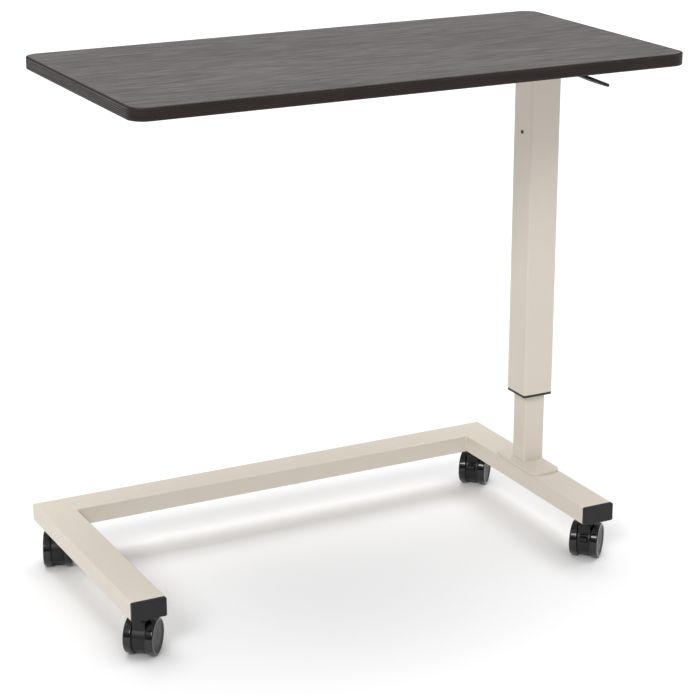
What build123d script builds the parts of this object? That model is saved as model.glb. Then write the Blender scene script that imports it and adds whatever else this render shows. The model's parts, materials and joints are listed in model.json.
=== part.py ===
from build123d import *
import math
import os

# Overbed table with a C-shaped base. Millimetres, +Z up, +X along the top's length.
# The origin is on the floor, under the middle of the whole table's outline.

# ---------------------------------------------------------------- overall sizes
overall_height = 692.0
top_length = 762.0
top_depth = 381.0
base_length = 698.0
base_depth = 359.0
base_setback = -3.0          # base's middle behind the top's middle, so here it is in front
column_inset = 106.0         # column centre from the top's right-hand edge
lift_stroke = 305.0

# ---------------------------------------------------------------- table top
top_thickness = 16.0
top_corner = 22.0
band_thickness = 3.0
band_round = 1.5
band_ribs = 4
rib_pitch = 2.6
rib_width = 0.9
rib_depth = 0.45
barb_depth = 8.0
barb_thickness = 2.0
laminate_thickness = 0.8
backing_thickness = 0.5

# ---------------------------------------------------------------- frame under the top
plate_thickness = 3.0
column_plate_length = 150.0
column_plate_width = 250.0
end_arm_length = 310.0
end_arm_width = 40.0
arm_reach = 560.0            # column centre to the far edge of the end arm
channel_wall = 2.5
channel_depth = 25.0
channel_overhang = 60.0      # channel end beyond the column centre, lever side
screw_radius = 2.0
screw_bite = 9.0
screw_head_radius = 4.2
screw_head_height = 2.4
screw_edge = 14.0            # screw centre from a plate's edge

# ---------------------------------------------------------------- column
outer_size = 45.5
outer_corner = 3.0
outer_wall = 2.0
outer_bottom = 195.0
inner_size = 31.5
inner_corner = 2.5
inner_wall = 2.0
slide_gap = 0.3
collar_lip = 3.5
collar_height = 40.0
bushing_height = 58.0
bushing_lip = 2.0
stop_gap = 2.0
side_screw_drop = 127.0      # side screw below the top's upper surface
side_screw_radius = 1.5
side_screw_head = 2.5
side_screw_hex = 1.1

# ---------------------------------------------------------------- gas spring and its release
rod_radius = 5.0
piston_radius = 8.45
piston_height = 12.0
cylinder_radius = 11.0
cylinder_bore = 8.5
cylinder_cap = 12.0
running_gap = 0.05
head_height = 18.0
head_drop = 50.0             # release head's top below the top's upper surface
anchor_height = 20.0
stud_radius = 4.0
stud_height = 16.0
pin_radius = 2.5
pin_head_radius = 5.5
pin_head_height = 3.0
pin_length = 21.0
pin_bore_depth = 22.0
spring_wire = 0.5
spring_radius = 3.9
spring_turns = 3.5

# ---------------------------------------------------------------- release lever
lever_pivot_reach = 38.0     # pivot from the column centre
lever_pivot_drop = 34.0      # pivot below the top's upper surface
lever_pin_radius = 3.0
lever_hub_radius = 6.0
lever_width = 20.0
lever_arm_height = 7.0
lever_strip = 3.0
lever_slope = 22.5           # paddle below the horizontal
lever_bend_gap = 3.0         # bend from the paddle's inner end
lever_nose = 4.0
lever_pin_gap = 0.3
paddle_tip_reach = 103.0     # paddle tip from the column centre
paddle_tip_drop = 73.0
paddle_length = 42.0
paddle_width = 50.0
paddle_thickness = 4.4
paddle_corner = 11.0
paddle_pocket = 24.0

# ---------------------------------------------------------------- base
leg_width = 46.0
leg_height = 25.0
leg_corner = 2.2
leg_wall = 2.0
cap_thickness = 5.0
cap_plug_gap = 1.5           # cap's plug from the front caster's socket
cap_round = 1.2
foot_length = 110.0
foot_side_margin = 1.0
foot_thickness = 4.0
foot_corner = 14.0
weld_spread = 6.0
weld_height = 6.0
rivet_radius = 3.0
rivet_head = 6.0
rivet_length = 9.0
rivet_edge = 12.0

# ---------------------------------------------------------------- casters
wheel_radius = 24.0
neck_height = 12.0           # wheel tops to the leg's underside
caster_width = 39.0
wheel_gap = 0.5              # wheel from the hood's side
tread_round = 2.0
rim_width = 3.4              # tread to the cover's edge
cover_recess = 2.6
cover_thickness = 2.2
cover_ring = 16.5
cover_dish = 0.4
cover_boss = 3.6
axle_radius = 3.0
hood_width = 16.5
hood_inset = 2.5             # hood's edge inside the tread
hood_wall = 2.5
hood_neck = 11.0
neck_gap = 1.6
washer_thickness = 1.5
washer_gap = 0.1
stem_radius = 5.0
stem_depth = 20.0            # stem length inside the hood's neck
stem_reach = 20.0            # stem length inside the socket
socket_radius = 9.0
caster_trail = 6.0
caster_inset = 29.5          # swivel centre from the base's front and back faces
pedal_pivot_back = 9.0       # pedal pivot from the swivel axis, away from the axle
pedal_pivot_rise = 9.0       # and above the axle
pedal_pin_radius = 1.5
pedal_barrel_wall = 1.1
pedal_stand_out = 2.0        # pedal's toe beyond the wheels
pedal_thickness = 4.0
pedal_gap = 0.4
pedal_travel = 12.0          # degrees

# Each caster: which leg, which end of the leg, the way its axle points, and if it has a brake.
casters = {
    "front_left": (-1, -1, -41.0, False),
    "front_right": (1, -1, -46.0, True),
    "rear_right": (1, 1, -44.0, True),
    "rear_left": (-1, 1, -24.0, False),
}

# ---------------------------------------------------------------- heights and places worked out
leg_bottom = 2 * wheel_radius + neck_height
cap_plug_depth = caster_inset - socket_radius - cap_thickness - cap_plug_gap
base_top = leg_bottom + leg_height
top_under = overall_height - top_thickness
plate_under = top_under - plate_thickness
web_under = plate_under - channel_wall
head_top = overall_height - head_drop
head_bottom = head_top - head_height
inner_bottom = base_top + foot_thickness
inner_top = head_bottom - stop_gap - bushing_lip
cylinder_bottom = inner_bottom + anchor_height
cylinder_top = inner_top - 10.0
piston_bottom = cylinder_top - cylinder_cap - piston_height - lift_stroke - 10.0
pivot_height = overall_height - lever_pivot_drop
pin_top = pivot_height - lever_nose - lever_pin_gap
wheel_width = (caster_width - hood_width) / 2 - wheel_gap
cover_radius = wheel_radius - rim_width
hood_radius = wheel_radius - hood_inset
pedal_width = hood_width - 2 * hood_wall - 2 * pedal_gap
pedal_pivot_height = wheel_radius + pedal_pivot_rise
pedal_toe = wheel_radius - caster_trail + pedal_stand_out

# The front left caster reaches furthest left and the top's edge furthest right, about equally
# far from the origin.
leg_spacing = base_length - leg_width
left_angle = math.radians(casters["front_left"][2])
caster_reach = (
    (caster_width / 2 - tread_round) * math.cos(left_angle)
    + (wheel_radius - tread_round) * abs(math.sin(left_angle))
    + tread_round
    + caster_trail * math.sin(left_angle)
)
column_x = (leg_spacing + caster_reach - column_inset) / 2
top_x = column_x + column_inset - top_length / 2
leg_x = {1: column_x, -1: column_x - leg_spacing}
base_front = base_setback - base_depth / 2
base_back = base_setback + base_depth / 2


def rounded(width, depth, corner):
    return RectangleRounded(width, depth, max(corner, 0.4))


def ring(width, depth, corner, wall):
    """Flat outline of a rectangular tube."""
    return rounded(width, depth, corner) - rounded(width - 2 * wall, depth - 2 * wall, corner - wall)


def column(sketch, bottom, top):
    """A sketch drawn about the column's centre line, raised between two heights."""
    return Pos(column_x, 0, bottom) * extrude(sketch, top - bottom)


def rod(radius, bottom, top, x=0.0, y=0.0):
    return Pos(x, y, (bottom + top) / 2) * Cylinder(radius, top - bottom)


def across(radius, width, x, z):
    """A round bar along Y."""
    return Pos(x, 0, z) * Rot(X=90) * Cylinder(radius, width)


# ================================================================ table top
def top_outline(inset):
    return Pos(top_x, 0) * rounded(top_length - 2 * inset, top_depth - 2 * inset, top_corner - inset)


def edge_band():
    body = Pos(0, 0, top_under) * extrude(top_outline(0), top_thickness)
    rims = body.edges().group_by(Axis.Z)[0] + body.edges().group_by(Axis.Z)[-1]
    body = fillet(rims, band_round)
    body -= Pos(0, 0, top_under) * extrude(top_outline(band_thickness), top_thickness)
    middle = top_under + top_thickness / 2
    for number in range(band_ribs):
        height = middle + (number - (band_ribs - 1) / 2) * rib_pitch - rib_width / 2
        groove = top_outline(0) - top_outline(rib_depth)
        body -= Pos(0, 0, height) * extrude(groove, rib_width)
    return body + barb()


def barb():
    outline = top_outline(band_thickness) - top_outline(band_thickness + barb_depth)
    bottom = top_under + (top_thickness - barb_thickness) / 2
    return Pos(0, 0, bottom) * extrude(outline, barb_thickness)


def laminate_sheet():
    bottom = overall_height - laminate_thickness
    return Pos(0, 0, bottom) * extrude(top_outline(band_thickness), laminate_thickness)


def backing_sheet():
    sheet = Pos(0, 0, top_under) * extrude(top_outline(band_thickness), backing_thickness)
    return sheet - screw_shanks()


def core_board():
    bottom = top_under + backing_thickness
    thickness = top_thickness - backing_thickness - laminate_thickness
    board = Pos(0, 0, bottom) * extrude(top_outline(band_thickness), thickness)
    return board - barb() - screw_shanks()


# ================================================================ frame under the top
def screw_places():
    half_plate = column_plate_length / 2 - screw_edge
    half_width = column_plate_width / 2 - screw_edge
    half_arm = end_arm_length / 2 - screw_edge
    places = [(column_x + i * half_plate, j * half_width) for i in (-1, 1) for j in (-1, 1)]
    arm_middle = column_x - arm_reach + end_arm_width / 2
    places += [(arm_middle, j * half_arm * share) for j in (-1, 1) for share in (1.0, 0.5)]
    return places


def screw_shanks():
    shanks = [rod(screw_radius, plate_under, top_under + screw_bite, x, y) for x, y in screw_places()]
    return Compound(shanks)


def wood_screws():
    screws = []
    for x, y in screw_places():
        shank = rod(screw_radius, plate_under, top_under + screw_bite, x, y)
        head = rod(screw_head_radius, plate_under - screw_head_height, plate_under, x, y)
        head = fillet(head.edges().group_by(Axis.Z)[0], screw_head_height * 0.45)
        screws.append(shank + head)
    return Compound(screws)


def column_plate():
    outline = rounded(column_plate_length, column_plate_width, 8)
    return column(outline, plate_under, top_under) - screw_shanks()


def end_arm():
    outline = rounded(end_arm_width, end_arm_length, 8)
    middle = column_x - arm_reach + end_arm_width / 2
    return Pos(middle, 0, plate_under) * extrude(outline, plate_thickness) - screw_shanks()


def support_channel():
    length = arm_reach + channel_overhang
    middle = column_x + (channel_overhang - arm_reach) / 2
    width = outer_size + 2 * channel_wall
    body = Pos(middle, 0, plate_under - channel_depth / 2) * Box(length, width, channel_depth)
    hollow = Pos(middle, 0, web_under - channel_depth / 2) * Box(length, outer_size, channel_depth)
    pivot = across(lever_pin_radius, 2 * width, column_x + lever_pivot_reach, pivot_height)
    return body - hollow - pivot


# ================================================================ moving part of the column
def outer_tube():
    tube = column(ring(outer_size, outer_size, outer_corner, outer_wall), outer_bottom, web_under)
    window_bottom = pivot_height - lever_hub_radius - 6
    window_height = web_under - window_bottom
    window = Box(outer_size / 2, lever_width + 6, window_height)
    tube -= Pos(column_x + outer_size / 2, 0, window_bottom + window_height / 2) * window
    return tube - side_screw()


def side_screw():
    height = overall_height - side_screw_drop
    face = column_x - outer_size / 2
    shank = Pos(face + outer_wall / 2, 0, height) * Rot(Y=90) * Cylinder(side_screw_radius, outer_wall)
    head = Pos(face - 0.6, 0, height) * Rot(Y=90) * Cylinder(side_screw_head, 1.2)
    recess = Pos(face - 1.2, 0, height) * Rot(Y=90) * extrude(RegularPolygon(side_screw_hex, 6), 0.7)
    return shank + fillet(head.edges().group_by(Axis.X)[0], 0.5) - recess


def guide_collar():
    hole = inner_size + 2 * slide_gap
    opening = rounded(hole, hole, inner_corner)
    liner_size = outer_size - 2 * outer_wall
    liner = rounded(liner_size, liner_size, outer_corner - outer_wall) - opening
    lip = rounded(outer_size, outer_size, outer_corner) - opening
    body = column(liner, outer_bottom, outer_bottom + collar_height)
    return body + column(lip, outer_bottom - collar_lip, outer_bottom)


def release_head():
    size = outer_size - 2 * outer_wall
    block = rounded(size, size, outer_corner - outer_wall) - Circle(rod_radius)
    return column(block, head_bottom, head_top)


def spring_rod():
    body = rod(rod_radius, piston_bottom, head_top) + rod(piston_radius, piston_bottom, piston_bottom + piston_height)
    body -= rod(pin_radius + running_gap, head_top - pin_bore_depth - pin_length + pin_head_height, head_top)
    return Pos(column_x, 0, 0) * body


def release_pin():
    body = rod(pin_radius, pin_top - pin_length, pin_top) + rod(pin_head_radius, pin_top - pin_head_height, pin_top)
    return Pos(column_x, 0, 0) * body


def return_spring():
    clear = spring_wire + running_gap
    height = pin_top - pin_head_height - head_top - 2 * clear
    path = Helix(pitch=height / spring_turns, height=height, radius=spring_radius)
    wire = sweep(Plane(path @ 0, z_dir=path % 0) * Circle(spring_wire), path=path, is_frenet=True)
    return Pos(column_x, 0, head_top + clear) * wire


# ================================================================ release lever
def release_lever():
    x = column_x + lever_pivot_reach
    hub = across(lever_hub_radius, outer_size - 2 * slide_gap, x, pivot_height)
    nose = across(lever_nose, lever_width, column_x, pivot_height)
    arm = Pos((x + column_x) / 2, 0, pivot_height + (lever_arm_height - 2 * lever_nose) / 2)
    arm *= Box(lever_pivot_reach, lever_width, lever_arm_height)
    body = hub + nose + arm + lever_strip_bar()
    return body - across(lever_pin_radius + running_gap, 2 * outer_size, x, pivot_height)


def paddle_place():
    tip = (column_x + paddle_tip_reach, 0, overall_height - paddle_tip_drop)
    return Pos(*tip) * Rot(Y=lever_slope)


def lever_strip_bar():
    """Flat steel from inside the paddle to the bend, and from the bend up to the hub."""
    slope = math.radians(lever_slope)
    far_end = paddle_length + lever_bend_gap
    length = far_end - (paddle_length - paddle_pocket)
    bar = paddle_place() * Pos(length / 2 - far_end, 0, 0) * Box(length, lever_width, lever_strip)
    bend_x = column_x + paddle_tip_reach - far_end * math.cos(slope)
    bend_z = overall_height - paddle_tip_drop + far_end * math.sin(slope)
    run = bend_x - column_x - lever_pivot_reach
    fall = pivot_height - bend_z
    crank = Rot(Y=math.degrees(math.atan2(fall, run))) * Box(math.hypot(run, fall), lever_width, lever_strip)
    crank = Pos(bend_x - run / 2, 0, bend_z + fall / 2) * crank
    return bar + across(lever_strip / 2, lever_width, bend_x, bend_z) + crank


def lever_paddle():
    outline = Rectangle(paddle_length, paddle_width)
    outline = fillet(outline.vertices(), paddle_corner)
    body = Pos(-paddle_length / 2, 0, -paddle_thickness / 2) * extrude(outline, paddle_thickness)
    rims = body.edges().group_by(Axis.Z)[0] + body.edges().group_by(Axis.Z)[-1]
    body = fillet(rims, paddle_thickness * 0.3)
    return paddle_place() * body - lever_strip_bar()


def lever_pin():
    width = outer_size + 2 * channel_wall + 2
    return across(lever_pin_radius, width, column_x + lever_pivot_reach, pivot_height)


# ================================================================ fixed part of the column
def inner_tube():
    return column(ring(inner_size, inner_size, inner_corner, inner_wall), inner_bottom, inner_top)


def upper_bushing():
    size = outer_size - 2 * outer_wall - 2 * slide_gap
    sleeve = rounded(size, size, outer_corner - outer_wall) - rounded(inner_size, inner_size, inner_corner)
    rim = rounded(size, size, outer_corner - outer_wall) - Circle(rod_radius + 2)
    body = column(sleeve, inner_top - bushing_height, inner_top)
    return body + column(rim, inner_top, inner_top + bushing_lip)


def spring_cylinder():
    body = rod(cylinder_radius, cylinder_bottom, cylinder_top)
    body -= rod(cylinder_bore, cylinder_bottom + stud_height + cylinder_cap, cylinder_top - cylinder_cap)
    body -= rod(rod_radius + running_gap, cylinder_top - cylinder_cap, cylinder_top)
    body -= rod(stud_radius, cylinder_bottom, cylinder_bottom + stud_height)
    return Pos(column_x, 0, 0) * body


def spring_anchor():
    size = inner_size - 2 * inner_wall
    block = column(rounded(size, size, inner_corner - inner_wall), inner_bottom, cylinder_bottom)
    return block + Pos(column_x, 0, 0) * rod(stud_radius, cylinder_bottom, cylinder_bottom + stud_height)


def weld_collar():
    low = inner_size + 2 * weld_spread
    foot = Pos(column_x, 0, inner_bottom) * rounded(low, low, inner_corner + weld_spread)
    rim = Pos(column_x, 0, inner_bottom + weld_height) * rounded(inner_size + 2, inner_size + 2, inner_corner + 1)
    bead = loft([foot, rim])
    return bead - column(rounded(inner_size, inner_size, inner_corner), inner_bottom, inner_bottom + weld_height)


def rivet_places():
    reach = foot_length / 2 - rivet_edge
    return [(column_x, -reach), (column_x, reach)]


def foot_rivet(x, y):
    head_height = rivet_head - rivet_radius
    cone = Pos(x, y, inner_bottom - head_height / 2) * Cone(rivet_radius, rivet_head, head_height)
    return cone + rod(rivet_radius, inner_bottom - rivet_length, inner_bottom - head_height, x, y)


def foot_rivets():
    return Compound([foot_rivet(x, y) for x, y in rivet_places()])


def foot_plate():
    outline = rounded(leg_width - 2 * foot_side_margin, foot_length, foot_corner)
    plate = column(outline, base_top, inner_bottom)
    for x, y in rivet_places():
        plate -= foot_rivet(x, y)
    return plate


# ================================================================ base
def mitre(side, beyond):
    """The half of a corner square that lies behind the mitre line (beyond=1) or in front (-1)."""
    outer = leg_x[side] + side * leg_width / 2
    spare = 60.0
    start = (outer + side * spare, base_back + spare)
    end = (outer - side * (leg_width + spare), base_back - leg_width - spare)
    if beyond > 0:
        corner = (end[0], start[1])
    else:
        corner = (start[0], end[1])
    face = make_face(Polyline(start, end, corner, close=True))
    return extrude(face, 2 * base_top, both=True)


def stem_holes():
    return at_every_caster(rod(stem_radius, leg_bottom, leg_bottom + leg_wall))


def leg(side):
    length = base_depth - cap_thickness
    tube = extrude(ring(leg_width, leg_height, leg_corner, leg_wall), length)
    middle = leg_bottom + leg_height / 2
    tube = Pos(leg_x[side], base_front + cap_thickness, middle) * Rot(X=-90) * tube
    tube -= mitre(side, 1) + stem_holes()
    if side > 0:
        for x, y in rivet_places():
            tube -= foot_rivet(x, y)
    return tube


def cross_bar():
    tube = extrude(ring(leg_height, leg_width, leg_corner, leg_wall), base_length)
    left = leg_x[-1] - leg_width / 2
    tube = Pos(left, base_back - leg_width / 2, leg_bottom + leg_height / 2) * Rot(Y=90) * tube
    return tube - mitre(-1, -1) - mitre(1, -1) - stem_holes()


def end_cap(side):
    flange = fillet(extrude(rounded(leg_width, leg_height, leg_corner), cap_thickness).edges()
                    .group_by(Axis.Z)[0], cap_round)
    plug = rounded(leg_width - 2 * leg_wall, leg_height - 2 * leg_wall, leg_corner - leg_wall)
    plug = Pos(0, 0, cap_thickness) * extrude(plug, cap_plug_depth)
    hollow = rounded(leg_width - 4 * leg_wall, leg_height - 4 * leg_wall, 1.0)
    hollow = Pos(0, 0, cap_thickness) * extrude(hollow, cap_plug_depth)
    cap = flange + (plug - hollow)
    return Pos(leg_x[side], base_front, leg_bottom + leg_height / 2) * Rot(X=-90) * cap


# ================================================================ casters
def caster_places():
    """Swivel axis x and y, axle direction in degrees, and brake, for each caster."""
    reach = base_depth / 2 - caster_inset
    return {
        name: (leg_x[side], base_setback + end * reach, angle, brake)
        for name, (side, end, angle, brake) in casters.items()
    }


def at_every_caster(shape):
    return Compound([Pos(x, y, 0) * shape for x, y, angle, brake in caster_places().values()])


# A caster's own frame: X along its axle, Y from the swivel axis towards the axle, Z up from the floor.
def wheel_bar(radius, near, far):
    """A round bar along the axle between two distances from the caster's middle."""
    return Pos((near + far) / 2, caster_trail, wheel_radius) * Rot(Y=90) * Cylinder(radius, far - near)


def hood(brake):
    top = leg_bottom - washer_thickness - washer_gap
    half = hood_width / 2
    shoulder = 2 * wheel_radius + neck_gap
    body = wheel_bar(hood_radius, -half, half)
    body += Pos(0, 0, (wheel_radius + shoulder) / 2) * Box(hood_width, 2 * hood_neck, shoulder - wheel_radius)
    neck = rod(hood_neck, shoulder - 1.0, top)
    body += fillet(neck.edges().group_by(Axis.Z)[-1], 1.5)
    inner = half - hood_wall
    hollow = wheel_bar(hood_radius - hood_wall, -inner, inner)
    open_back = Pos(0, caster_trail + hood_radius, wheel_radius - 6) * Box(2 * inner, 2 * hood_radius, 24)
    low = Pos(0, hood_radius + stem_radius + 1, wheel_radius - hood_radius)
    low *= Box(2 * inner, 2 * hood_radius, 2 * hood_radius)
    body -= (hollow & low) + open_back
    body += wheel_bar(axle_radius + 3, -half, half)
    body -= wheel_bar(axle_radius, -half, half)
    body -= rod(stem_radius + running_gap, leg_bottom - stem_depth - 2, top + 1)
    if brake:
        body -= pedal_slot()
    return body


def pedal_slot():
    """Room in the hood for the pedal through its travel."""
    inner = pedal_width / 2 + pedal_gap
    wall = 1.0
    near = -stem_radius - running_gap - wall
    top = leg_bottom - stem_depth - 2 - wall
    toe_fall = (pedal_toe - pedal_pivot_back) * math.sin(math.radians(pedal_travel))
    bottom = pedal_pivot_height - 1.0 - pedal_thickness / 2 - toe_fall - 2 * pedal_gap
    slot = Box(2 * inner, pedal_toe, top - bottom)
    return Pos(0, near - pedal_toe / 2, (top + bottom) / 2) * slot


def pedal():
    barrel = Pos(0, -pedal_pivot_back, pedal_pivot_height) * Rot(Y=90)
    barrel *= Cylinder(pedal_pin_radius + pedal_barrel_wall, pedal_width)
    length = pedal_toe - pedal_pivot_back
    toe = Pos(0, -pedal_pivot_back - length / 2, pedal_pivot_height - 1.0)
    toe *= Box(pedal_width, length, pedal_thickness)
    toe = fillet(toe.edges().filter_by(Axis.Z).group_by(Axis.Y)[0], 2.0)
    body = barrel + toe
    for number in range(3):
        rib = Box(pedal_width - 3, 1.0, 0.8)
        body += Pos(0, 2.5 + number * 2.4 - pedal_toe, pedal_pivot_height + pedal_thickness / 2 - 0.8) * rib
    return body


def pedal_pin(radius):
    width = pedal_width + 2 * pedal_gap
    return Pos(0, -pedal_pivot_back, pedal_pivot_height) * Rot(Y=90) * Cylinder(radius, width)


def wheel(side):
    outer = caster_width / 2
    body = wheel_bar(wheel_radius, outer - wheel_width, outer)
    body = fillet(body.edges().filter_by(GeomType.CIRCLE), tread_round)
    body -= wheel_bar(cover_radius, outer - cover_recess, outer)
    body -= wheel_bar(axle_radius + running_gap, outer - wheel_width, outer)
    return body if side > 0 else mirror(body, Plane.YZ)


def wheel_cover(side):
    outer = caster_width / 2
    inner_face = outer - cover_recess
    disc = wheel_bar(cover_radius, inner_face, inner_face + cover_thickness)
    disc = fillet(disc.edges().group_by(Axis.X)[-1], 0.8)
    dish = wheel_bar(cover_ring, inner_face + cover_thickness - cover_dish, inner_face + cover_thickness)
    boss = wheel_bar(cover_boss, inner_face, inner_face + cover_thickness - cover_dish / 2)
    disc = disc - dish + boss
    return disc if side > 0 else mirror(disc, Plane.YZ)


def axle():
    half = caster_width / 2 - cover_recess - 0.2
    return wheel_bar(axle_radius, -half, half)


def stem():
    shaft = rod(stem_radius, leg_bottom - stem_depth, leg_bottom + stem_reach)
    return shaft + rod(hood_neck - 0.5, leg_bottom - washer_thickness, leg_bottom)


def socket():
    top = base_top - leg_wall
    return rod(socket_radius, leg_bottom + leg_wall, top) - rod(stem_radius, leg_bottom, leg_bottom + stem_reach)


nodes = {
    "core_board": core_board(),
    "laminate_sheet": laminate_sheet(),
    "backing_sheet": backing_sheet(),
    "edge_band": edge_band(),
    "wood_screws": wood_screws(),
    "column_plate": column_plate(),
    "end_arm": end_arm(),
    "support_channel": support_channel(),
    "outer_tube": outer_tube(),
    "side_screw": side_screw(),
    "guide_collar": guide_collar(),
    "release_head": release_head(),
    "spring_rod": spring_rod(),
    "release_pin": release_pin(),
    "return_spring": return_spring(),
    "release_lever": release_lever(),
    "lever_paddle": lever_paddle(),
    "lever_pin": lever_pin(),
    "inner_tube": inner_tube(),
    "upper_bushing": upper_bushing(),
    "spring_cylinder": spring_cylinder(),
    "spring_anchor": spring_anchor(),
    "weld_collar": weld_collar(),
    "foot_plate": foot_plate(),
    "foot_rivets": foot_rivets(),
    "left_leg": leg(-1),
    "right_leg": leg(1),
    "cross_bar": cross_bar(),
    "left_end_cap": end_cap(-1),
    "right_end_cap": end_cap(1),
    "caster_sockets": at_every_caster(socket()),
    "caster_stems": at_every_caster(stem()),
}
for name, (x, y, angle, brake) in caster_places().items():
    place = Pos(x, y, 0) * Rot(Z=angle)
    hood_shape = hood(brake)
    if brake:
        nodes[name + "_pedal"] = place * (pedal() - pedal_pin(pedal_pin_radius + running_gap))
        hood_shape += pedal_pin(pedal_pin_radius)
    nodes[name + "_hood"] = place * hood_shape
    nodes[name + "_axle"] = place * axle()
    for side, word in ((-1, "inner"), (1, "outer")):
        nodes[name + "_" + word + "_wheel"] = place * wheel(side)
        nodes[name + "_" + word + "_cover"] = place * wheel_cover(side)

os.makedirs("parts", exist_ok=True)
for name, shape in nodes.items():
    export_step(shape, "parts/" + name + ".step")
print(len(nodes), "nodes")
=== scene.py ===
import json
import math

import bmesh
import bpy
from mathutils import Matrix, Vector


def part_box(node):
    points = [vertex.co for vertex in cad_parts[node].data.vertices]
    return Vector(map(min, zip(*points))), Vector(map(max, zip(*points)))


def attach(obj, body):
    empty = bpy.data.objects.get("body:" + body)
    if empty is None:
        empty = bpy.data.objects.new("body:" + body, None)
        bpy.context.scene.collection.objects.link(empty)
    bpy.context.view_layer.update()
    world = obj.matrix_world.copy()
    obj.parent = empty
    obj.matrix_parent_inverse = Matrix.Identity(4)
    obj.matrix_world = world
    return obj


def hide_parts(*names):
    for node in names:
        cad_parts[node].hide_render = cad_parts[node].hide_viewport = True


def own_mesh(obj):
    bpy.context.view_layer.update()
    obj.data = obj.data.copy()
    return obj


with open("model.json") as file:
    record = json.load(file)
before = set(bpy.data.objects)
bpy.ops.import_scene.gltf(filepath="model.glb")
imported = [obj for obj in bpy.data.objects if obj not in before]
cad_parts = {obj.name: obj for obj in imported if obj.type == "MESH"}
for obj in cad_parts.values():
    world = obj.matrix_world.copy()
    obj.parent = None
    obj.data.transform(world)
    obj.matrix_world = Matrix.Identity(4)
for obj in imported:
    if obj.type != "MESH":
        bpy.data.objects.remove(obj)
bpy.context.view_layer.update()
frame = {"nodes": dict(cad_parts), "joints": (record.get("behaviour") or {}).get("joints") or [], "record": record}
nodes = frame["nodes"]
mm = 0.001
middling = (0.3, 0.7)  # where most of a noise's values lie


# A Wire is one output socket. Sums on it add their nodes to the paint that it belongs to.
class Wire:
    def __init__(self, paint, socket):
        self.paint = paint
        self.socket = socket

    def __add__(self, other):
        return self.paint.sum("ADD", self, other)

    def __sub__(self, other):
        return self.paint.sum("SUBTRACT", self, other)

    def __rsub__(self, other):
        return self.paint.sum("SUBTRACT", other, self)

    def __mul__(self, other):
        return self.paint.sum("MULTIPLY", self, other)

    __radd__ = __add__
    __rmul__ = __mul__


# The nodes of one material, or of the studio's sky.
class Paint:
    def __init__(self, name, owner=None):
        self.owner = owner or bpy.data.materials.new(name)
        self.owner.use_nodes = True
        self.tree = self.owner.node_tree
        self.tree.nodes.clear()
        self.where = self.node("ShaderNodeTexCoord", {}, {}, "Generated" if owner else "Object")

    # settings go first, because some of them change which sockets there are
    def node(self, kind, settings, sockets, out=0):
        made = self.tree.nodes.new(kind)
        for key, value in settings.items():
            setattr(made, key, value)
        for key, value in sockets.items():
            if isinstance(value, Wire):
                self.tree.links.new(value.socket, made.inputs[key])
            else:
                made.inputs[key].default_value = value
        return Wire(self, made.outputs[out] if len(made.outputs) else None)

    def sum(self, operation, first, second):
        return self.node("ShaderNodeMath", {"operation": operation}, {0: first, 1: second})

    def ramp(self, value, low, high, newLow=0.0, newHigh=1.0):
        ends = {"From Min": low, "From Max": high, "To Min": newLow, "To Max": newHigh}
        settings = {"interpolation_type": "SMOOTHSTEP"}
        return self.node("ShaderNodeMapRange", settings, {"Value": value, **ends})

    def stretched(self, x=1.0, y=1.0, z=1.0):
        return self.node("ShaderNodeMapping", {}, {"Vector": self.where, "Scale": (x, y, z)})

    def noise(self, scale, detail=2.0, rough=0.5, at=None, twist=0.0):
        sockets = {"Vector": at or self.where, "Scale": scale, "Detail": detail, "Roughness": rough}
        return self.node("ShaderNodeTexNoise", {}, {**sockets, "Distortion": twist})

    # a mix of colours takes them at sockets 6 and 7 and gives its result at 2
    def mix(self, mask, first, second):
        flat = [c if isinstance(c, Wire) else (*c, 1) for c in (first, second)]
        return self.node("ShaderNodeMix", {"data_type": "RGBA"}, {0: mask, 6: flat[0], 7: flat[1]}, 2)

    def bump(self, height, strength, depth):
        return self.node("ShaderNodeBump", {}, {"Height": height, "Strength": strength, "Distance": depth})

    def shade(self, **sockets):
        named = {key.replace("_", " "): value for key, value in sockets.items()}
        shader = self.node("ShaderNodeBsdfPrincipled", {}, named)
        self.node("ShaderNodeOutputMaterial", {}, {"Surface": shader})
        return self.owner


# angles in degrees, the lens and sensor in millimetres, the rest in metres
camera = {
    "aim": (-0.005, -0.014, 0.301),
    "azimuth": -27.35,
    "elevation": 18.36,
    "distance": 2.7955,
    "lens": 108.7,
    "sensor": 36.0,
}
studio = {
    "floorSize": 80.0,
    "floorColour": (0.95, 0.95, 0.955),
    "floorShade": 0.99,  # the darker patches' share of the colour
    "floorPatch": (0.6, 1.0),  # scale and detail
    "floorRoughness": 0.8,
    "floorShine": 0.1,
    "backdrop": 0.98,  # the wall behind, as the camera sees it
    "skyLow": 0.08,  # near the horizon
    "skyHigh": 0.66,  # overhead
    "skyBend": (0.05, 0.75),  # the heights of the sky between which it brightens
    "suns": [  # towards the light, strength, how wide it looks in degrees, colour
        ((-0.60, -0.54, 0.60), 1.18, 20.0, (1.0, 0.995, 0.98)),
        ((0.12, 0.16, 1.0), 1.72, 54.0, (0.985, 0.99, 1.0)),
    ],
}


def aimed(thing, place, target):
    thing.location = place
    thing.rotation_euler = (Vector(target) - Vector(place)).to_track_quat("-Z", "Y").to_euler()


def makeCamera():
    eye = bpy.data.objects.new("camera", bpy.data.cameras.new("camera"))
    bpy.context.scene.collection.objects.link(eye)
    eye.data.lens = camera["lens"]
    eye.data.sensor_width = camera["sensor"]
    turn, rise = math.radians(camera["azimuth"]), math.radians(camera["elevation"])
    back = Vector((math.sin(turn) * math.cos(rise), -math.cos(turn) * math.cos(rise), math.sin(rise)))
    aimed(eye, Vector(camera["aim"]) + back * camera["distance"], camera["aim"])
    bpy.context.scene.camera = eye


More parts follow.
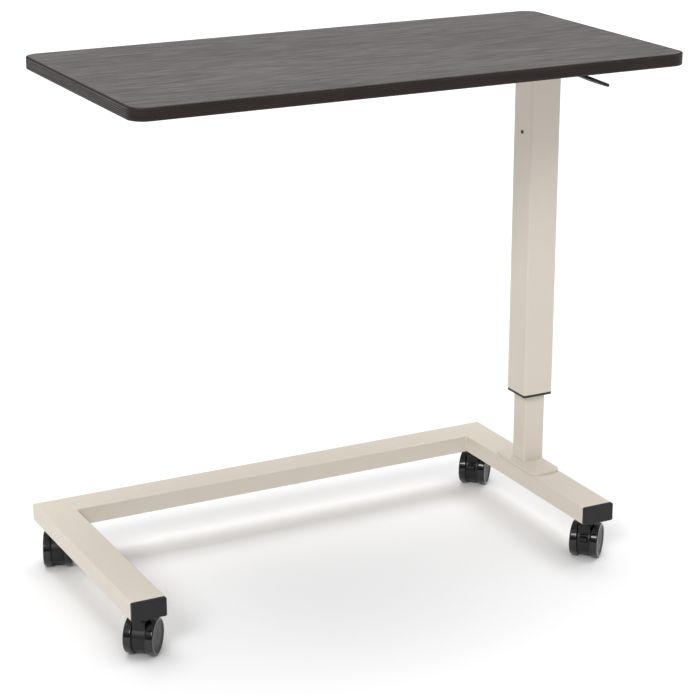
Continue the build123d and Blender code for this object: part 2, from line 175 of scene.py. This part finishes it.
def makeStudio():
    sheet = bmesh.new()
    bmesh.ops.create_grid(sheet, x_segments=1, y_segments=1, size=studio["floorSize"] / 2)
    floor = newPiece("floor", sheet)
    paint = Paint("floorPaper")
    pale = studio["floorColour"]
    shaded = tuple(part * studio["floorShade"] for part in pale)
    gloss = {"Roughness": studio["floorRoughness"], "Specular_IOR_Level": studio["floorShine"]}
    colour = paint.mix(paint.noise(*studio["floorPatch"]), pale, shaded)
    floor.data.materials.append(paint.shade(Base_Color=colour, **gloss))
    world = bpy.data.worlds.new("studio")
    sky = Paint("studio", world)
    height = sky.node("ShaderNodeSeparateXYZ", {}, {"Vector": sky.where}, "Z")
    glow = sky.ramp(height, *studio["skyBend"], studio["skyLow"], studio["skyHigh"])
    seen = sky.node("ShaderNodeLightPath", {}, {}, "Is Camera Ray")
    white = (1, 1, 1, 1)
    light = sky.node("ShaderNodeBackground", {}, {"Color": white, "Strength": glow})
    backdrop = sky.node("ShaderNodeBackground", {}, {"Color": white, "Strength": studio["backdrop"]})
    both = sky.node("ShaderNodeMixShader", {}, {0: seen, 1: light, 2: backdrop})
    sky.node("ShaderNodeOutputWorld", {}, {"Surface": both})
    bpy.context.scene.world = world
    for number, (towards, strength, wide, colour) in enumerate(studio["suns"]):
        lamp = bpy.data.lights.new(f"sun{number}", "SUN")
        lamp.energy = strength
        lamp.color = colour
        lamp.angle = math.radians(wide)
        holder = bpy.data.objects.new(lamp.name, lamp)
        bpy.context.scene.collection.objects.link(holder)
        aimed(holder, towards, (0, 0, 0))
    bpy.context.scene.view_settings.view_transform = "Standard"


def newPiece(name, sheet):
    mesh = bpy.data.meshes.new(name)
    sheet.to_mesh(mesh)
    sheet.free()
    piece = bpy.data.objects.new(name, mesh)
    bpy.context.scene.collection.objects.link(piece)
    return piece


# In the looks below a noise is its scale, then its detail and roughness where they differ from the
# usual ones. A relief is a bump's strength and depth, and a gloss is the surface's lowest and
# highest roughness.
def woodgrainLaminate():
    look = {
        "dark": (0.076, 0.066, 0.066),
        "light": (0.152, 0.139, 0.140),
        "streak": (210.0, 4.0, 0.7),  # streaks of about 5 mm across the grain
        "streakStretch": 0.08,
        "streakShare": 0.9,
        "cloud": (7.0, 2.0, 0.5),
        "cloudStretch": 0.35,
        "cloudShare": 0.2,
        "grainEdge": (0.36, 0.74),
        "pore": (420.0, 2.0, 0.5),
        "poreStretch": 0.10,
        "poreEdge": (0.55, 0.70),
        "poreDarkness": 0.6,
        "poreDepth": 0.8,
        "gloss": (0.38, 0.48),
        "relief": (0.2, 0.2 * mm),
    }
    paint = Paint("woodgrainLaminate")
    streaks = paint.noise(*look["streak"], paint.stretched(look["streakStretch"]))
    clouds = paint.noise(*look["cloud"], paint.stretched(look["cloudStretch"]))
    dots = paint.noise(*look["pore"], paint.stretched(look["poreStretch"]))
    pores = paint.ramp(dots, *look["poreEdge"])
    grain = paint.ramp(streaks * look["streakShare"] + clouds * look["cloudShare"], *look["grainEdge"])
    colour = paint.mix(grain, look["dark"], look["light"])
    colour = paint.mix(pores * look["poreDarkness"], colour, look["dark"])
    gloss = paint.ramp(streaks, *middling, *look["gloss"])
    normal = paint.bump(streaks - pores * look["poreDepth"], *look["relief"])
    return paint.shade(Base_Color=colour, Roughness=gloss, Normal=normal)


def edgePlastic():
    look = {
        "dark": (0.012, 0.0060, 0.0050),
        "light": (0.026, 0.0150, 0.0125),
        "streak": (220.0, 3.0, 0.6),
        "streakStretch": (0.06, 0.06, 0.8),
        "streakEdge": (0.25, 0.75),
        "pebble": 900.0,
        "pebbleShare": 0.5,
        "gloss": (0.40, 0.50),
        "shine": 0.28,
        "relief": (0.12, 0.2 * mm),
    }
    paint = Paint("edgePlastic")
    streaks = paint.noise(*look["streak"], paint.stretched(*look["streakStretch"]))
    colour = paint.mix(paint.ramp(streaks, *look["streakEdge"]), look["dark"], look["light"])
    gloss = paint.ramp(streaks, *middling, *look["gloss"])
    normal = paint.bump(streaks + paint.noise(look["pebble"]) * look["pebbleShare"], *look["relief"])
    return paint.shade(Base_Color=colour, Roughness=gloss, Normal=normal, Specular_IOR_Level=look["shine"])


paints = {
    "cream_paint": {
        "name": "creamPaint",
        "light": (0.715, 0.652, 0.568),
        "dark": (0.675, 0.612, 0.528),
        "gloss": (0.39, 0.46),
    },
    "black_steel_paint": {
        "name": "blackSteelPaint",
        "light": (0.018, 0.018, 0.019),
        "dark": (0.030, 0.029, 0.029),
        "gloss": (0.42, 0.49),
    },
}
powder = {
    "peel": (520.0, 2.0, 0.45),
    "patch": 9.0,
    "patchShare": 0.5,
    "speck": (1500.0, 1.0),
    "speckEdge": (0.62, 0.75),
    "speckShare": 0.25,
    "relief": (0.2, 0.2 * mm),
}


def powderCoat(look):
    paint = Paint(look["name"])
    peel = paint.noise(*powder["peel"])
    patch = paint.noise(powder["patch"])
    speck = paint.ramp(paint.noise(*powder["speck"]), *powder["speckEdge"])
    darkness = patch * powder["patchShare"] + speck * powder["speckShare"]
    colour = paint.mix(darkness, look["light"], look["dark"])
    gloss = paint.ramp(patch, *middling, *look["gloss"])
    return paint.shade(Base_Color=colour, Roughness=gloss, Normal=paint.bump(peel, *powder["relief"]))


# texture is the scale of the moulded grain, and shine is how much the surface mirrors
plastics = {
    "guide_plastic": {
        "name": "guidePlastic",
        "dark": (0.012, 0.010, 0.009),
        "light": (0.020, 0.016, 0.014),
        "gloss": (0.42, 0.50),
        "texture": 700.0,
    },
    "cap_plastic": {
        "name": "capPlastic",
        "dark": (0.010, 0.010, 0.012),
        "light": (0.018, 0.018, 0.020),
        "gloss": (0.47, 0.55),
        "texture": 900.0,
        "shine": 0.32,
    },
    "dark_screw": {
        "name": "darkScrew",
        "dark": (0.012, 0.011, 0.010),
        "light": (0.022, 0.020, 0.018),
        "gloss": (0.32, 0.40),
        "texture": 500.0,
    },
    "hood_plastic": {
        "name": "hoodPlastic",
        "dark": (0.006, 0.006, 0.007),
        "light": (0.011, 0.011, 0.012),
        "gloss": (0.33, 0.41),
        "texture": 800.0,
        "shine": 0.35,
    },
    "wheel_plastic": {
        "name": "wheelPlastic",
        "dark": (0.004, 0.004, 0.005),
        "light": (0.008, 0.008, 0.009),
        "gloss": (0.07, 0.15),
        "texture": 200.0,
        "coat": 0.35,
        "shine": 0.40,
    },
    "cover_plastic": {
        "name": "coverPlastic",
        "dark": (0.014, 0.014, 0.016),
        "light": (0.024, 0.024, 0.027),
        "gloss": (0.35, 0.43),
        "texture": 600.0,
        "shine": 0.30,
    },
}
moulding = {
    "cloud": 40.0,
    "textureDetail": (2.0, 0.6),
    "coatRoughness": 0.05,
    "relief": (0.12, 0.1 * mm),
}


def mouldedPlastic(look):
    paint = Paint(look["name"])
    cloud = paint.noise(moulding["cloud"])
    grain = paint.noise(look["texture"], *moulding["textureDetail"])
    colour = paint.mix(cloud, look["dark"], look["light"])
    gloss = paint.ramp(cloud, *middling, *look["gloss"])
    constants = {
        "Coat_Weight": look.get("coat", 0.0),
        "Coat_Roughness": moulding["coatRoughness"],
        "Specular_IOR_Level": look.get("shine", 0.5),
    }
    normal = paint.bump(grain, *moulding["relief"])
    return paint.shade(Base_Color=colour, Roughness=gloss, Normal=normal, **constants)


def platedSteel():
    look = {
        "dull": (0.46, 0.46, 0.45),
        "bright": (0.62, 0.61, 0.58),
        "patch": 60.0,
        "turning": (700.0, 3.0, 0.6),
        "turningStretch": (1.0, 1.0, 0.08),
        "gloss": (0.24, 0.40),
        "relief": (0.1, 0.1 * mm),
    }
    paint = Paint("platedSteel")
    turned = paint.noise(*look["turning"], paint.stretched(*look["turningStretch"]))
    colour = paint.mix(paint.noise(look["patch"]), look["dull"], look["bright"])
    gloss = paint.ramp(turned, *middling, *look["gloss"])
    normal = paint.bump(turned, *look["relief"])
    return paint.shade(Base_Color=colour, Roughness=gloss, Metallic=1.0, Normal=normal)


def particleBoard():
    look = {
        "glue": (0.30, 0.19, 0.10),
        "chip": (0.58, 0.43, 0.27),
        "chipScale": 420.0,
        "roughness": 0.85,
        "relief": (0.4, 0.4 * mm),
    }
    paint = Paint("particleBoard")
    sockets = {"Vector": paint.where, "Scale": look["chipScale"]}
    chips = paint.node("ShaderNodeTexVoronoi", {}, sockets, "Distance")
    colour = paint.mix(chips, look["glue"], look["chip"])
    normal = paint.bump(chips, *look["relief"])
    return paint.shade(Base_Color=colour, Roughness=look["roughness"], Normal=normal)


def backingPaper():
    look = {
        "dark": (0.10, 0.075, 0.06),
        "light": (0.15, 0.115, 0.09),
        "mottle": (60.0, 4.0, 0.6),
        "fibre": (400.0, 3.0, 0.6),
        "fibreStretch": 0.3,
        "roughness": 0.7,
        "relief": (0.15, 0.2 * mm),
    }
    paint = Paint("backingPaper")
    mottle = paint.noise(*look["mottle"])
    fibre = paint.noise(*look["fibre"], paint.stretched(look["fibreStretch"]))
    colour = paint.mix(mottle, look["dark"], look["light"])
    normal = paint.bump(fibre, *look["relief"])
    return paint.shade(Base_Color=colour, Roughness=look["roughness"], Normal=normal)


def makeFinishes():
    return {
        "woodgrain_laminate": woodgrainLaminate(),
        "backing_paper": backingPaper(),
        "particle_board": particleBoard(),
        "edge_plastic": edgePlastic(),
        "bright_steel": platedSteel(),
        **{slot: powderCoat(look) for slot, look in paints.items()},
        **{slot: mouldedPlastic(look) for slot, look in plastics.items()},
    }


def finishNodes(finishes):
    for entry in frame["record"]["subparts"]:
        piece = nodes[entry["node"]]
        piece.data.materials.clear()
        piece.data.materials.append(finishes[entry["material_slot"]])


# A piece gets its finish, its body and its slot.
def settle(piece, body, slot, finishes):
    piece.data.materials.append(finishes[slot])
    for face in piece.data.polygons:
        face.use_smooth = True
    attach(piece, body)
    return piece


def fullTurn(sides):
    return [2 * math.pi * side / sides for side in range(sides)]


# Joins rings of points into a tube, with its ends closed unless it runs round to its start.
def skin(sheet, rings, closed=False):
    sides = len(rings[0])
    following = rings[1:] + rings[:1] if closed else rings[1:]
    for first, second in zip(rings, following):
        for side in range(sides):
            after = (side + 1) % sides
            sheet.faces.new((first[side], first[after], second[after], second[side]))
    if not closed:
        sheet.faces.new(list(reversed(rings[0])))
        sheet.faces.new(rings[-1])


weld = {
    "radius": 2.4 * mm,
    "ripple": 0.22,  # share of the radius
    "pitch": 2.2 * mm,
    "sides": 12,
    "step": 0.55 * mm,
    "blunt": 0.35,  # an end's radius as a share of the full one
    "passes": [  # out from the column, up from the plate
        (1.4 * mm, 0.4 * mm),
        (0.2 * mm, 1.9 * mm),
        (3.0 * mm, -0.7 * mm),
    ],
    "tubeCorner": 3.2 * mm,
    "cornerGap": 0.4 * mm,  # bead's centre from the two tubes' faces
    "cornerEnds": (2.5 * mm, 2.0 * mm),  # bead's ends from the tubes' lower and upper faces
    "seam": (0.8 * mm, 0.3 * mm),  # out from the column and up from the channel
    "seamEnd": 4 * mm,  # kept clear of a tube's or a plate's edges
    "stitchReach": 18 * mm,  # half a stitch's length, where a plate is wide enough for it
    "stitchDrop": 0.2 * mm,
}


# A bead of weld laid along a line of points, rippled like overlapping drops.
def weldBead(sheet, points, closed=False):
    line = [Vector(point) for point in points]
    if closed:
        line.append(line[0].copy())
    runs = [(after - before).length for before, after in zip(line, line[1:])]
    count = round(sum(runs) / weld["step"])
    rings = []
    for number in range(count if closed else count + 1):
        travel = sum(runs) * number / count
        along = travel
        index = 0
        while index < len(runs) - 1 and along > runs[index]:
            along -= runs[index]
            index += 1
        direction = (line[index + 1] - line[index]).normalized()
        centre = line[index] + direction * along
        side = direction.orthogonal().normalized()
        up = direction.cross(side)
        drop = (travel / weld["pitch"]) % 1.0
        fromEnd = min(travel, sum(runs) - travel) / weld["radius"]
        end = 1.0 if closed else min(1.0, weld["blunt"] + fromEnd)
        size = weld["radius"] * end * (1 - weld["ripple"] * drop * drop)
        ring = [side * math.cos(turn) + up * math.sin(turn) for turn in fullTurn(weld["sides"])]
        rings.append([sheet.verts.new(centre + way * size) for way in ring])
    skin(sheet, rings, closed)


# A square with round corners, as points in a level plane.
def squareLoop(centre, half, corner, height, perCorner=7):
    points = []
    for turn in range(4):
        for step in range(perCorner):
            angle = math.radians(90 * turn + 90 * step / (perCorner - 1))
            sign = Vector((1 if turn in (0, 3) else -1, 1 if turn < 2 else -1, 0))
            point = sign * (half - corner) + Vector((math.cos(angle), math.sin(angle), 0)) * corner
            points.append(Vector((centre[0], centre[1], height)) + point)
    return points


def makeWelds(finishes):
    tubeLow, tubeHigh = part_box("inner_tube")
    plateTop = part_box("foot_plate")[1].z
    half = (tubeHigh.x - tubeLow.x) / 2
    foot = bmesh.new()
    for out, up in weld["passes"]:
        loop = squareLoop((tubeLow + tubeHigh) / 2, half + out, weld["tubeCorner"] + out, plateTop + up)
        weldBead(foot, loop, closed=True)
    welded = settle(newPiece("column_foot_weld", foot), "base", "cream_paint", finishes)
    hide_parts("weld_collar")

    barLow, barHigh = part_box("cross_bar")
    gap = weld["cornerGap"]
    corners = bmesh.new()
    for x, way in ((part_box("left_leg")[1].x, 1), (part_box("right_leg")[0].x, -1)):
        heights = barLow.z + weld["cornerEnds"][0], barHigh.z - weld["cornerEnds"][1]
        weldBead(corners, [(x + way * gap, barLow.y - gap, height) for height in heights])
    settle(newPiece("base_corner_welds", corners), "base", "cream_paint", finishes)

    channelLow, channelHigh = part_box("support_channel")
    outerLow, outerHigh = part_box("outer_tube")
    seamOut, seamUp = weld["seam"]
    stitches = bmesh.new()
    ends = outerLow.x + weld["seamEnd"], outerHigh.x - weld["seamEnd"]
    for y in (outerLow.y - seamOut, outerHigh.y + seamOut):
        weldBead(stitches, [(x, y, channelLow.z + seamUp) for x in ends])
    for low, high in (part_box("column_plate"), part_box("end_arm")):
        centre = (low.x + high.x) / 2
        reach = min(weld["stitchReach"], (high.x - low.x) / 2 - weld["seamEnd"])
        for y in (channelLow.y, channelHigh.y):
            ends = centre - reach, centre + reach
            weldBead(stitches, [(x, y, low.z - weld["stitchDrop"]) for x in ends])
    settle(newPiece("frame_stitch_welds", stitches), "top_and_column", "black_steel_paint", finishes)


screw = {
    "radius": 4.2 * mm,
    "height": 2.4 * mm,
    "slotWidth": 1.1 * mm,
    "slotReach": 2.4 * mm,
    "slotDepth": 1.3 * mm,
    "rings": 14,
    "sides": 48,
    "edge": 14 * mm,  # from a plate's edge
    "armShares": (1.0, 0.5),  # places along each half of the end arm
}


# How far a domed head with a cross-shaped recess stands out, at a place on it.
def headHeight(x, y):
    dome = screw["height"] * (1 - (math.hypot(x, y) / screw["radius"]) ** 4) ** 0.5
    alongX = abs(y) < screw["slotWidth"] / 2 and abs(x) < screw["slotReach"]
    alongY = abs(x) < screw["slotWidth"] / 2 and abs(y) < screw["slotReach"]
    return dome - (screw["slotDepth"] if alongX or alongY else 0)


# The head faces down.
def screwHead(sheet, x, y, seat):
    rings = []
    for number in range(1, screw["rings"] + 1):
        radius = screw["radius"] * number / screw["rings"]
        row = []
        for turn in fullTurn(screw["sides"]):
            px, py = radius * math.cos(turn), radius * math.sin(turn)
            row.append(sheet.verts.new((x + px, y + py, seat - max(0.0, headHeight(px, py)))))
        rings.append(row)
    middle = sheet.verts.new((x, y, seat - headHeight(0, 0)))
    for side in range(screw["sides"]):
        after = (side + 1) % screw["sides"]
        sheet.faces.new((middle, rings[0][after], rings[0][side]))
        for inner, outer in zip(rings, rings[1:]):
            sheet.faces.new((inner[side], inner[after], outer[after], outer[side]))
    sheet.faces.new(rings[-1])


def makeScrewHeads(finishes):
    plateLow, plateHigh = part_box("column_plate")
    armLow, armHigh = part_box("end_arm")
    edge = screw["edge"]
    acrossPlate = plateLow.y + edge, plateHigh.y - edge
    places = [(x, y) for x in (plateLow.x + edge, plateHigh.x - edge) for y in acrossPlate]
    half = (armHigh.y - armLow.y) / 2 - edge
    armMiddle = (armLow.x + armHigh.x) / 2
    places += [(armMiddle, way * half * share) for way in (-1, 1) for share in screw["armShares"]]
    heads = bmesh.new()
    for x, y in places:
        screwHead(heads, x, y, plateLow.z)
    bmesh.ops.recalc_face_normals(heads, faces=heads.faces)
    made = settle(newPiece("wood_screw_heads", heads), "top_and_column", "bright_steel", finishes)
    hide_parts("wood_screws")


grip = {
    "slope": 22.5,  # degrees
    "thickness": 4.4 * mm,  # the paddle's own
    "ribs": 6,
    "pitch": 4.2 * mm,
    "start": 8 * mm,  # the first rib from the paddle's tip
    "width": 34 * mm,
    "height": 0.8 * mm,
    "halfBreadth": 1.0 * mm,
    "sunk": 0.25 * mm,
    "shoulder": 0.94,  # where a rib's taper begins, as a share of half its width
    "taper": 0.25,  # a rib's size at its ends, as a share of the full one
    "arc": 8,
}


# Round-topped ribs under the paddle, where the fingers pull.
def makePaddleRibs(finishes):
    low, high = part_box("lever_paddle")
    slope = math.radians(grip["slope"])
    down = Vector((math.cos(slope), 0, -math.sin(slope)))
    under = Vector((-math.sin(slope), 0, -math.cos(slope)))
    half = grip["thickness"] / 2
    tip = Vector((high.x - half * math.sin(slope), 0, low.z + half * math.cos(slope)))
    ribs = bmesh.new()
    for number in range(grip["ribs"]):
        centre = tip - down * (grip["start"] + number * grip["pitch"]) + under * half
        rows = []
        for share in (-1, -grip["shoulder"], grip["shoulder"], 1):
            taper = 1.0 if abs(share) < 1 else grip["taper"]
            across = Vector((0, share * grip["width"] / 2, 0))
            row = []
            for step in range(grip["arc"] + 1):
                angle = math.pi * step / grip["arc"]
                lift = math.sin(angle) * grip["height"] * taper - grip["sunk"]
                slide = math.cos(angle) * grip["halfBreadth"] * taper
                row.append(ribs.verts.new(centre + down * slide + under * lift + across))
            rows.append(row)
        skin(ribs, rows)
    bmesh.ops.recalc_face_normals(ribs, faces=ribs.faces)
    settle(newPiece("lever_paddle_ribs", ribs), "lever", "cap_plastic", finishes)


coil = {
    "wire": 0.5 * mm,  # radius
    "closedTurns": 1.0,  # at each end
    "closedPitch": 2.1,  # in wire radii
    "openTurns": 3.0,
    "stepsPerTurn": 30,
    "sides": 10,
}


# The small compression spring under the release pin's head.
def makeReturnSpring(finishes):
    low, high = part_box("return_spring")
    middle = (low + high) / 2
    height = high.z - low.z
    wire, closedTurns, openTurns = coil["wire"], coil["closedTurns"], coil["openTurns"]
    radius = (high.x - low.x) / 2 - wire
    closedRise = closedTurns * coil["closedPitch"] * wire
    openRise = height - 2 * wire - 2 * closedRise
    turns = 2 * closedTurns + openTurns
    spring = bmesh.new()
    rings = []
    for step in range(round(turns * coil["stepsPerTurn"]) + 1):
        turn = step / coil["stepsPerTurn"]
        first = min(turn, closedTurns) / closedTurns
        last = max(0.0, turn - closedTurns - openTurns) / closedTurns
        between = min(max(turn - closedTurns, 0.0), openTurns) / openTurns
        rise = (first + last) * closedRise + between * openRise
        out = Vector((math.cos(2 * math.pi * turn), math.sin(2 * math.pi * turn), 0))
        centre = Vector((middle.x, middle.y, low.z + wire + rise)) + out * radius
        ring = []
        for angle in fullTurn(coil["sides"]):
            way = out * math.cos(angle) + Vector((0, 0, math.sin(angle)))
            ring.append(spring.verts.new(centre + way * wire))
        rings.append(ring)
    skin(spring, rings)
    bmesh.ops.recalc_face_normals(spring, faces=spring.faces)
    made = settle(newPiece("return_spring_coil", spring), "top_and_column", "bright_steel", finishes)
    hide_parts("return_spring")
    pin = next(joint for joint in frame["joints"] if joint["name"] == "pin_press")
    keep = 1 - pin["range_m"][1] / height
    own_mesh(made)


makeCamera()
makeStudio()
print("camera and studio made")
finishes = makeFinishes()
finishNodes(finishes)
print("finishes on", len(nodes), "nodes")
makeWelds(finishes)
makeScrewHeads(finishes)
makePaddleRibs(finishes)
makeReturnSpring(finishes)
print("welds, screw heads, paddle ribs and return spring made")
